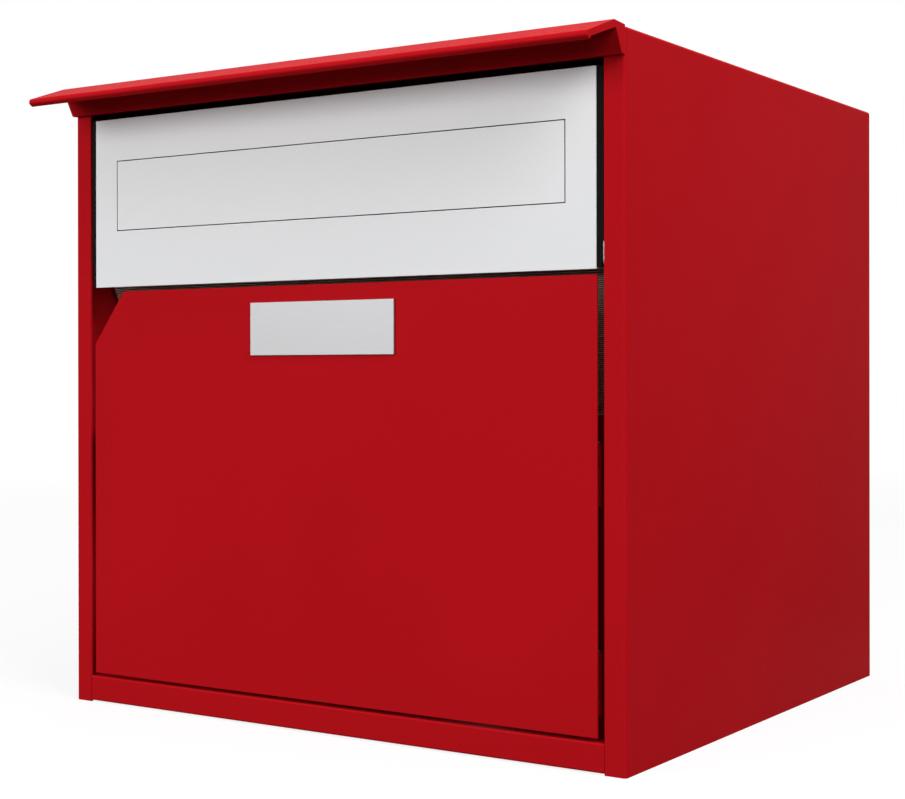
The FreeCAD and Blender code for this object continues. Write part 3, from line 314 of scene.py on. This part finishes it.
def powder_coat(name, colour, deep, roughness):
    """Semi-gloss powder coat: a faint orange peel and a slight drift of depth and gloss."""
    material, tree, surface = new_finish(name)
    drift = grain(tree, scale=9.0, detail=2.0)
    fine = grain(tree, scale=420.0, detail=2.0)
    feed(tree, surface,
         Base_Color=two_colours(tree, drift, deep, colour),
         Roughness=by_grain(tree, fine, roughness - 0.05, roughness + 0.07),
         Specular_IOR_Level=0.006,
         Specular_Tint=(1.0, 0.6, 0.75, 1))
    peel = grain(tree, scale=520.0, detail=1.5)
    swell = grain(tree, scale=150.0, detail=1.0)
    bumps(tree, surface, [(swell, 0.00006), (peel, 0.00005)])
    return material


def satin_paint(name, colour):
    """Pale satin paint with the fine grain of a silver coat, and painted shade: black on the
    walls of the letter slot and the flap, for the dark of the gap.
    """
    material, tree, surface = new_finish(name)
    fleck = grain(tree, scale=1500.0, detail=2.0)
    paint = two_colours(tree, fleck, scaled(colour, 0.95), scaled(colour, 1.05))
    # The mask of the painted shade in the slot gap: 1 on the slot's walls, which turn black
    slot_shade_mask = add_node(tree, "ShaderNodeAttribute", attribute_name="slot_painted_shade").outputs["Fac"]
    # Of a colour mix, inputs 6 and 7 are the two colours and output 2 is the result
    paint_with_slot_shade = add_node(tree, "ShaderNodeMix", {"Factor": slot_shade_mask, 6: paint, 7: (*BLACK, 1)},
                      data_type="RGBA").outputs[2]
    feed(tree, surface,
         Base_Color=paint_with_slot_shade,
         Roughness=by_grain(tree, grain(tree, scale=60.0, detail=2.0), 0.5, 0.58),
         Specular_IOR_Level=0.15)
    bumps(tree, surface, [(fleck, 0.00001)])
    return material


def bare_metal(name, colour, roughness, stretch, scale, depth, contrast=0.1):
    """Rolled or brushed metal: streaks along the direction in which stretch is small."""
    material, tree, surface = new_finish(name)
    streak = grain(tree, scale, 4.0, stretch)
    dark = scaled(colour, 1 - contrast)
    light = scaled(colour, 1 + contrast)
    feed(tree, surface,
         Base_Color=two_colours(tree, streak, dark, light),
         Roughness=by_grain(tree, streak, roughness - 0.6 * contrast, roughness + 0.8 * contrast),
         Metallic=0.9)
    bumps(tree, surface, [(streak, depth)])
    return material


def dull_skin(name, colour, roughness, scale):
    """Moulded rubber or plastic, ferrite or tape, with a fine eroded skin."""
    material, tree, surface = new_finish(name)
    skin = grain(tree, scale, detail=3.0)
    lighter = tuple(c * 1.8 for c in colour)
    feed(tree, surface,
         Base_Color=two_colours(tree, skin, colour, lighter),
         Roughness=by_grain(tree, skin, roughness - 0.08, roughness + 0.08),
         Specular_IOR_Level=0.03)
    bumps(tree, surface, [(skin, 0.00003)])
    return material


def ribbed_zinc_painted_light(name, tip, hollow):
    """Zinc sheet with painted light: rib tips bright and warm for the light on them and the red
    light thrown back in the box, and dark between them as painted shade.
    """
    material, tree, surface = new_finish(name)
    height = add_node(tree, "ShaderNodeAttribute", attribute_name="rib_height").outputs["Fac"]
    feed(tree, surface,
         Base_Color=two_colours(tree, height, hollow, tip),
         Metallic=0.35,
         Roughness=between(tree, height, 0.0, 1.0, 0.8, 0.6))
    return material


def make_finishes():
    """Every material of the box, by the record's slots."""
    even = (1.0, 1.0, 1.0)
    return {
        "red_paint": powder_coat("red_powder_coat", RED, RED_DEEP, roughness=0.42),
        "pale_paint": satin_paint("silver_satin_paint", PALE),
        "zinc_steel": bare_metal("zinc_plated_steel", ZINC, roughness=0.38, stretch=even,
                                 scale=260.0, depth=0.00001),
        "lock_metal": bare_metal("nickel_plate", NICKEL, roughness=0.2, stretch=(1.0, 1.0, 0.1),
                                 scale=900.0, depth=0.000004),
        "plate_metal": bare_metal("brushed_aluminium", BARE, roughness=0.52,
                                  stretch=(0.02, 1.0, 1.0), scale=2600.0, depth=0.0000006,
                                  contrast=0.04),
        "black_rubber": dull_skin("black_rubber", BLACK, roughness=0.7, scale=900.0),
        "black_plastic": dull_skin("black_plastic", BLACK, roughness=0.5, scale=1400.0),
        "magnet": dull_skin("ferrite", FERRITE, roughness=0.6, scale=1100.0),
        "tape": dull_skin("adhesive_tape", TAPE, roughness=0.6, scale=700.0),
        "ribbed_zinc_painted_light": ribbed_zinc_painted_light("ribs_painted_light", RIB_TIP_LIT, RIB_HOLLOW_SHADE),
    }


# Pieces

def link_thing(name, data):
    """A new object with this mesh, lamp or camera, at the origin of the frame."""
    thing = bpy.data.objects.new(name, data)
    bpy.context.scene.collection.objects.link(thing)
    return thing


def settle(piece):
    """Applies the piece's modifiers and leaves a plain mesh."""
    graph = bpy.context.evaluated_depsgraph_get()
    mesh = bpy.data.meshes.new_from_object(piece.evaluated_get(graph))
    piece.modifiers.clear()
    piece.data = mesh


def mount(piece, *names):
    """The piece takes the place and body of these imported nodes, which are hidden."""
    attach(piece, BODY_OF[names[0]])
    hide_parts(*names)


def coat(mesh, finish):
    """The mesh gets this finish and no other."""
    mesh.materials.clear()
    mesh.materials.append(finish)


def smooth_up_to(mesh, angle):
    """Smooth faces that keep a sharp edge where they meet at more than the angle."""
    for face in mesh.polygons:
        face.use_smooth = True
    mesh.set_sharp_from_angle(angle=angle)


def merged_copy(name):
    """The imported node's mesh with its triangles joined and its flats made whole."""
    mesh = nodes[name].data.copy()
    form = bmesh.new()
    form.from_mesh(mesh)
    bmesh.ops.remove_doubles(form, verts=form.verts, dist=1e-6)
    bmesh.ops.dissolve_limit(form, angle_limit=FLAT_WITHIN, verts=form.verts, edges=form.edges)
    form.to_mesh(mesh)
    form.free()
    return mesh


def with_broken_edges(name, width, finish):
    """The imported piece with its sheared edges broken, as coated sheet has them."""
    mesh = merged_copy(name)
    coat(mesh, finish)
    smooth_up_to(mesh, SHEET_EDGE_FROM)
    piece = link_thing(name + "_finished", mesh)
    edge = piece.modifiers.new("edge", "BEVEL")
    edge.width = width
    edge.segments = EDGE_STEPS
    edge.limit_method = "ANGLE"
    edge.angle_limit = SHEET_EDGE_FROM
    flats = piece.modifiers.new("flats", "WEIGHTED_NORMAL")
    flats.mode = "FACE_AREA"
    flats.weight = 100
    flats.keep_sharp = True
    settle(piece)
    mount(piece, name)
    return piece


def paint_slot_shade(piece, low, high):
    """Marks the walls of the letter slot, or of the flap in it, for painted shade: black walls
    that stand in for the dark of the gap.
    """
    mesh = piece.data
    mark = mesh.attributes.new("slot_painted_shade", "FLOAT", "FACE")
    for face in mesh.polygons:
        centre = face.center
        inside = low.x < centre.x < high.x and low.z < centre.z < high.z
        is_edge = inside and abs(face.normal.y) < FRONT_FACING
        mark.data[face.index].value = 1.0 if is_edge else 0.0


def make_sheet_pieces(finishes):
    """Folded sheet and other rigid pieces with broken edges, and the painted shade on the slot's
    edges.
    """
    made = {name: with_broken_edges(name, width * MM, finishes[SLOT_OF[name]])
            for name, width in BROKEN_EDGES.items()}
    low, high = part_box("letter_flap")
    margin = Vector((SLOT_MARGIN, SLOT_MARGIN, SLOT_MARGIN))
    for name in ("letter_panel", "letter_flap"):
        paint_slot_shade(made[name], low - margin, high + margin)
    return set(made)


# Pieces grown by rule: springs, screws and the guard's ribs

def shape_tree(name, sizes):
    """An empty geometry tree with one named number input for each size."""
    tree = bpy.data.node_groups.new(name, "GeometryNodeTree")
    for label in sizes:
        kind = "NodeSocketInt" if isinstance(sizes[label], int) else "NodeSocketFloat"
        tree.interface.new_socket(name=label, in_out="INPUT", socket_type=kind)
    tree.interface.new_socket(name="Piece", in_out="OUTPUT", socket_type="NodeSocketGeometry")
    return tree, tree.nodes.new("NodeGroupInput").outputs


def joined(tree, runs):
    """Several geometries as one."""
    join = tree.nodes.new("GeometryNodeJoinGeometry")
    for run in runs:
        tree.links.new(run, join.inputs[0])
    return join.outputs[0]


def moved(tree, geometry, place, **settings):
    """A geometry at a place, with any turn or scale given as a further input."""
    inputs = {"Geometry": geometry, "Translation": place, **settings}
    return add_node(tree, "GeometryNodeTransform", inputs).outputs[0]


def drawn_along(tree, path, profile):
    """A closed tube: the profile drawn along the path."""
    return add_node(tree, "GeometryNodeCurveToMesh", {
        "Curve": path, "Profile Curve": profile, "Fill Caps": True}).outputs[0]


def close_tree(tree, geometry, finish):
    """The end of every tree: real geometry with its finish."""
    real = add_node(tree, "GeometryNodeRealizeInstances", {"Geometry": geometry}).outputs[0]
    named = add_node(tree, "GeometryNodeSetMaterial", {"Geometry": real, "Material": finish})
    add_node(tree, "NodeGroupOutput", {"Piece": named.outputs[0]})


def grow(name, tree, sizes):
    """Runs a tree with these sizes, in metres, and keeps the plain mesh."""
    piece = link_thing(name, bpy.data.meshes.new(name))
    rule = piece.modifiers.new("rule", "NODES")
    rule.node_group = tree
    for socket in tree.interface.items_tree:
        if socket.in_out == "INPUT":
            rule[socket.identifier] = sizes[socket.name]
    settle(piece)
    smooth_up_to(piece.data, GROWN_EDGE_FROM)
    return piece


def place_at(piece, place, turn=None):
    """Moves the mesh, not the object, to its place."""
    piece.data.transform(Matrix.Translation(Vector(place)) @ (turn or Matrix.Identity(4)))


def spring_tree(sizes, finish):
    """Round wire: a leg, turns round the rod along X, and a short tail."""
    tree, size = shape_tree("wound_spring", sizes)
    turns = add_node(tree, "GeometryNodeCurveSpiral", {
        "Resolution": 24, "Rotations": size["Turns"], "Start Radius": size["Coil radius"],
        "End Radius": size["Coil radius"], "Height": size["Coil length"], "Reverse": True})
    coil = moved(tree, turns.outputs[0], (0, 0, 0), Rotation=(-math.pi / 2, 0, -math.pi / 2))
    front = times(tree, size["Coil radius"], -1.0)
    leg = add_node(tree, "GeometryNodeCurvePrimitiveLine", {
        "Start": vector_of(tree, 0.0, size["Leg lean"], size["Leg end"]),
        "End": vector_of(tree, 0.0, front, 0.0)}).outputs[0]
    tail = add_node(tree, "GeometryNodeCurvePrimitiveLine", {
        "Start": vector_of(tree, size["Coil length"], front, 0.0),
        "End": vector_of(tree, size["Coil length"], front, size["Tail"])}).outputs[0]
    round_wire = add_node(tree, "GeometryNodeCurvePrimitiveCircle", {
        "Resolution": 10, "Radius": size["Wire radius"]}).outputs[0]
    close_tree(tree, drawn_along(tree, joined(tree, (coil, leg, tail)), round_wire), finish)
    return tree


def make_springs(finishes):
    """Both flap springs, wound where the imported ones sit, the left as the right's mirror."""
    low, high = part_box("flap_spring_right")
    rod_y = high.y - ROD_FROM_BACK
    sizes = {**SPRING, "Leg lean": low.y + PACKED_WIRE_HALF - rod_y}
    tree = spring_tree(sizes, finishes["zinc_steel"])
    for name, side in (("flap_spring_left", -1), ("flap_spring_right", 1)):
        piece = grow(name + "_wound", tree, sizes)
        place_at(piece, (low.x + PACKED_WIRE_HALF, rod_y, low.z + ROD_FROM_FOOT))
        if side < 0:
            piece.data.transform(Matrix.Scale(-1, 4, (1, 0, 0)))
            piece.data.flip_normals()
        mount(piece, name)
    return {"flap_spring_left", "flap_spring_right"}


def screw_tree(sizes, finish):
    """A row of hexagon screws along X: crowned heads above the seat, threaded shanks below."""
    tree, size = shape_tree("screw_row", sizes)
    height, radius, length = size["Head height"], size["Shank radius"], size["Shank length"]
    prism = add_node(tree, "GeometryNodeMeshCylinder", {
        "Vertices": 6, "Radius": size["Head radius"], "Depth": height})
    crown = add_node(tree, "GeometryNodeExtrudeMesh", {
        "Mesh": prism.outputs["Mesh"], "Selection": prism.outputs["Top"],
        "Offset Scale": times(tree, height, CROWN_HEIGHT), "Individual": False})
    chamfer = add_node(tree, "GeometryNodeScaleElements", {
        "Geometry": crown.outputs["Mesh"], "Selection": crown.outputs["Top"],
        "Scale": CROWN_TOP}).outputs[0]
    head_middle = times(tree, height, HEAD_FLATTENED / 2)
    head = moved(tree, chamfer, vector_of(tree, 0.0, 0.0, head_middle),
                 Scale=(1.0, 1.0, HEAD_FLATTENED))
    core_radius = times(tree, radius, CORE_RADIUS)
    shank = add_node(tree, "GeometryNodeMeshCylinder", {
        "Vertices": 20, "Radius": core_radius, "Depth": length}).outputs["Mesh"]
    core = moved(tree, shank, vector_of(tree, 0.0, 0.0, times(tree, length, -0.5)))
    helix = add_node(tree, "GeometryNodeCurveSpiral", {
        "Resolution": 16, "Rotations": reckon(tree, "DIVIDE", length, size["Thread pitch"]),
        "Start Radius": core_radius, "End Radius": core_radius,
        "Height": times(tree, length, THREAD_RUN)}).outputs[0]
    ridge = add_node(tree, "GeometryNodeCurvePrimitiveCircle", {
        "Resolution": 4, "Radius": times(tree, radius, RIDGE_RADIUS)}).outputs[0]
    thread = moved(tree, drawn_along(tree, helix, ridge),
                   vector_of(tree, 0.0, 0.0, times(tree, length, THREAD_FOOT)))
    row = add_node(tree, "GeometryNodeMeshLine", {
        "Count": size["Count"], "Offset": vector_of(tree, size["Spacing"], 0.0, 0.0)}).outputs[0]
    placed = add_node(tree, "GeometryNodeInstanceOnPoints", {
        "Points": row, "Instance": joined(tree, (head, core, thread))}).outputs[0]
    close_tree(tree, placed, finish)
    return tree


def make_screws(finishes):
    """The rows of screws in the hood, the tray and the catch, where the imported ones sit."""
    facing_back = Matrix.Rotation(math.radians(-90), 4, "X")
    upright_row = facing_back @ Matrix.Rotation(math.radians(90), 4, "Z")
    low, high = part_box("hood_screws")
    sizes = {**LARGE_SCREW, "Count": 3, "Spacing": HOOD_SCREW_SPACING,
             "Shank length": HOOD_SCREW_LENGTH}
    tree = screw_tree(sizes, finishes["zinc_steel"])
    hood = grow("hood_screws_threaded", tree, sizes)
    seat_y = high.y - LARGE_SCREW["Head height"]
    place_at(hood, (-HOOD_SCREW_SPACING, seat_y, (low.z + high.z) / 2), facing_back)
    mount(hood, "hood_screws")
    low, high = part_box("tray_screws")
    head, reach = LARGE_SCREW["Head height"], LARGE_SCREW["Head radius"]
    tray = grow("tray_screws_threaded", tree, {
        **LARGE_SCREW, "Count": 2, "Spacing": high.x - low.x - 2 * reach,
        "Shank length": high.z - low.z - head})
    place_at(tray, (low.x + reach, (low.y + high.y) / 2, high.z - head))
    mount(tray, "tray_screws")
    low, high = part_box("magnet_screws")
    head = SMALL_SCREW["Head height"]
    catch = grow("magnet_screws_threaded", tree, {
        **SMALL_SCREW, "Count": 2, "Spacing": CATCH_SCREW_SPACING,
        "Shank length": high.y - low.y - head})
    upper_z = (low.z + high.z) / 2 + CATCH_SCREW_SPACING / 2
    place_at(catch, ((low.x + high.x) / 2, high.y - head, upper_z), upright_row)
    mount(catch, "magnet_screws")
    return {"hood_screws", "tray_screws", "magnet_screws"}


def guard_tree(sizes, finish):
    """A leaning sheet pressed in fine level ribs, with a plain flange at its top."""
    tree, size = shape_tree("ribbed_sheet", sizes)
    whole = reckon(tree, "ADD", size["Flange"], size["Length"])
    ribs = reckon(tree, "DIVIDE", whole, size["Pitch"])
    grid = add_node(tree, "GeometryNodeMeshGrid", {
        "Size X": size["Width"], "Size Y": 1.0, "Vertices X": 2,
        "Vertices Y": times(tree, ribs, ROWS_IN_RIB)}).outputs["Mesh"]
    start = add_node(tree, "ShaderNodeSeparateXYZ", {
        0: tree.nodes.new("GeometryNodeInputPosition").outputs[0]}).outputs
    share = reckon(tree, "ADD", start["Y"], 0.5)
    # Below 0 the strip along the sheet is the flange, which runs back; above it the ribs fall
    along = reckon(tree, "SUBTRACT", times(tree, share, whole), size["Flange"])
    fall = reckon(tree, "MAXIMUM", along, 0.0)
    back = reckon(tree, "MAXIMUM", times(tree, along, -1.0), 0.0)
    turn = times(tree, reckon(tree, "DIVIDE", fall, size["Pitch"]), 2 * math.pi)
    swing = times(tree, reckon(tree, "COSINE", turn), 0.5)
    wave = reckon(tree, "SUBTRACT", 0.5, swing)
    rib = times(tree, wave, size["Rib height"])
    lean_sine = reckon(tree, "SINE", size["Lean"])
    lean_cosine = reckon(tree, "COSINE", size["Lean"])
    y = reckon(tree, "SUBTRACT", reckon(tree, "ADD", back, times(tree, fall, lean_sine)),
               times(tree, rib, lean_cosine))
    z = reckon(tree, "SUBTRACT", times(tree, times(tree, fall, lean_cosine), -1.0),
               times(tree, rib, lean_sine))
    flange = reckon(tree, "GREATER_THAN", back, 0.0)
    # The share of rib height is also the mask of the painted light on the ribs: bright tips, dark
    # hollows
    marked = add_node(tree, "GeometryNodeStoreNamedAttribute", {
        "Geometry": grid, "Name": "rib_height", "Value": reckon(tree, "MAXIMUM", wave, flange)},
        data_type="FLOAT", domain="POINT").outputs[0]
    pressed = add_node(tree, "GeometryNodeSetPosition", {
        "Geometry": marked, "Position": vector_of(tree, start["X"], y, z)}).outputs[0]
    outward = add_node(tree, "GeometryNodeFlipFaces", {"Mesh": pressed}).outputs[0]
    close_tree(tree, outward, finish)
    return tree


def make_guard(finishes):
    """The ribbed guard under the tray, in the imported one's place."""
    guard = grow("ribbed_guard_pressed", guard_tree(GUARD, finishes["ribbed_zinc_painted_light"]), GUARD)
    sheet = guard.modifiers.new("sheet", "SOLIDIFY")
    sheet.thickness = GUARD_SHEET
    sheet.offset = -1
    settle(guard)
    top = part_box("ribbed_guard")[1].z
    place_at(guard, (0, GUARD_FRONT, top - GUARD_UNDER_TRAY))
    mount(guard, "ribbed_guard")
    return {"ribbed_guard"}


# Stage, light and camera

def aim(lamp, target):
    """Turns a lamp from its place towards the target."""
    lamp.rotation_euler = (Vector(target) - lamp.location).to_track_quat("-Z", "Y").to_euler()


def soft_lamp(name, place, width, height, power):
    """A large soft box that faces the middle of the post box."""
    light = bpy.data.lights.new(name, "AREA")
    light.shape = "RECTANGLE"
    light.size = width
    light.size_y = height
    light.energy = power
    lamp = link_thing(name, light)
    lamp.location = place
    aim(lamp, LIT_MIDDLE)


def fill_lamp(name, place, power, target):
    """A small lamp that lifts the dark of a compartment, bare or, with a target, as a spot."""
    light = bpy.data.lights.new(name, "SPOT" if target else "POINT")
    light.shadow_soft_size = 0.0
    light.energy = power
    lamp = link_thing(name, light)
    lamp.location = place
    if target:
        light.spot_size = FILL_CONE
        light.spot_blend = FILL_CONE_BLEND
        aim(lamp, target)


def seen_directly(tree):
    """1 for what the eye sees itself, in a gloss or through glass."""
    path = add_node(tree, "ShaderNodeLightPath").outputs
    gloss = reckon(tree, "MAXIMUM", path["Is Camera Ray"], path["Is Glossy Ray"])
    return reckon(tree, "MAXIMUM", gloss, path["Is Transmission Ray"])


def make_floor():
    """Plain pale floor, almost white to the eye, that keeps a soft shadow."""
    half = FLOOR_HALF
    level = cad_low.z - FLOOR_BELOW
    mesh = bpy.data.meshes.new("floor")
    corners = [(-half, -half, level), (half, -half, level),
               (half, half, level), (-half, half, level)]
    mesh.from_pydata(corners, [], [(0, 1, 2, 3)])
    floor = link_thing("floor", mesh)
    material = bpy.data.materials.new("pale_floor")
    tree = cleared(material)
    seen = seen_directly(tree)
    tone = between(tree, seen, 0.0, 1.0, FLOOR_THROWN_BACK, FLOOR_SEEN)
    matt = add_node(tree, "ShaderNodeBsdfDiffuse", {"Color": vector_of(tree, tone, tone, tone)})
    white = add_node(tree, "ShaderNodeEmission", {"Color": WHITE, "Strength": 1.0})
    place = add_node(tree, "ShaderNodeTexCoord").outputs["Object"]
    away = add_node(tree, "ShaderNodeVectorMath", {0: place}, operation="LENGTH")
    veil = between(tree, away.outputs["Value"], VEIL_NEAR[0], VEIL_FAR[0],
                   VEIL_NEAR[1], VEIL_FAR[1])
    mix = add_node(tree, "ShaderNodeMixShader", {
        0: times(tree, seen, veil), 1: matt.outputs[0], 2: white.outputs[0]})
    add_node(tree, "ShaderNodeOutputMaterial", {"Surface": mix.outputs[0]})
    mesh.materials.append(material)


def make_light():
    """White surroundings to the eye, a dim even sky for the object, soft boxes and fills."""
    world = bpy.data.worlds.new("studio")
    bpy.context.scene.world = world
    tree = cleared(world)
    sky = add_node(tree, "ShaderNodeBackground", {"Color": WHITE, "Strength": SKY_STRENGTH})
    white = add_node(tree, "ShaderNodeBackground", {"Color": WHITE, "Strength": 1.0})
    mix = add_node(tree, "ShaderNodeMixShader", {
        0: seen_directly(tree), 1: sky.outputs[0], 2: white.outputs[0]})
    add_node(tree, "ShaderNodeOutputWorld", {"Surface": mix.outputs[0]})
    for name, place, width, height, power in SOFT_BOXES:
        soft_lamp(name, place, width, height, power)
    for name, place, power, target in FILL_LAMPS:
        fill_lamp(name, place, power, target)


def make_camera():
    """The photograph's eye point, direction and field."""
    yaw = math.radians(EYE_YAW)
    pitch = math.radians(EYE_PITCH)
    roll = math.radians(EYE_ROLL)
    forward = Vector((-math.sin(yaw) * math.cos(pitch), math.cos(yaw) * math.cos(pitch),
                      math.sin(pitch)))
    level = Vector((math.cos(yaw), math.sin(yaw), 0))
    above = level.cross(forward)
    right = level * math.cos(roll) + above * math.sin(roll)
    up = above * math.cos(roll) - level * math.sin(roll)
    turn = Matrix((right, up, -forward)).transposed().to_4x4()
    lens = bpy.data.cameras.new("camera")
    lens.sensor_width = SENSOR_WIDTH
    lens.lens = SENSOR_WIDTH * EYE_FOCUS / IMAGE_WIDTH
    lens.shift_y = HORIZON_SHIFT / IMAGE_WIDTH
    lens.clip_start = NEAREST_SEEN
    lens.clip_end = FARTHEST_SEEN
    camera = link_thing("camera", lens)
    camera.matrix_world = Matrix.Translation(EYE) @ turn
    bpy.context.scene.camera = camera


def main():
    """Stage and light, then every piece with its finish."""
    bpy.context.scene.view_settings.view_transform = "Standard"
    make_camera()
    make_floor()
    make_light()
    finishes = make_finishes()
    done = make_sheet_pieces(finishes)
    done |= make_springs(finishes)
    done |= make_screws(finishes)
    done |= make_guard(finishes)
    for name in nodes:
        if name not in done:
            coat(nodes[name].data, finishes[SLOT_OF[name]])


main()
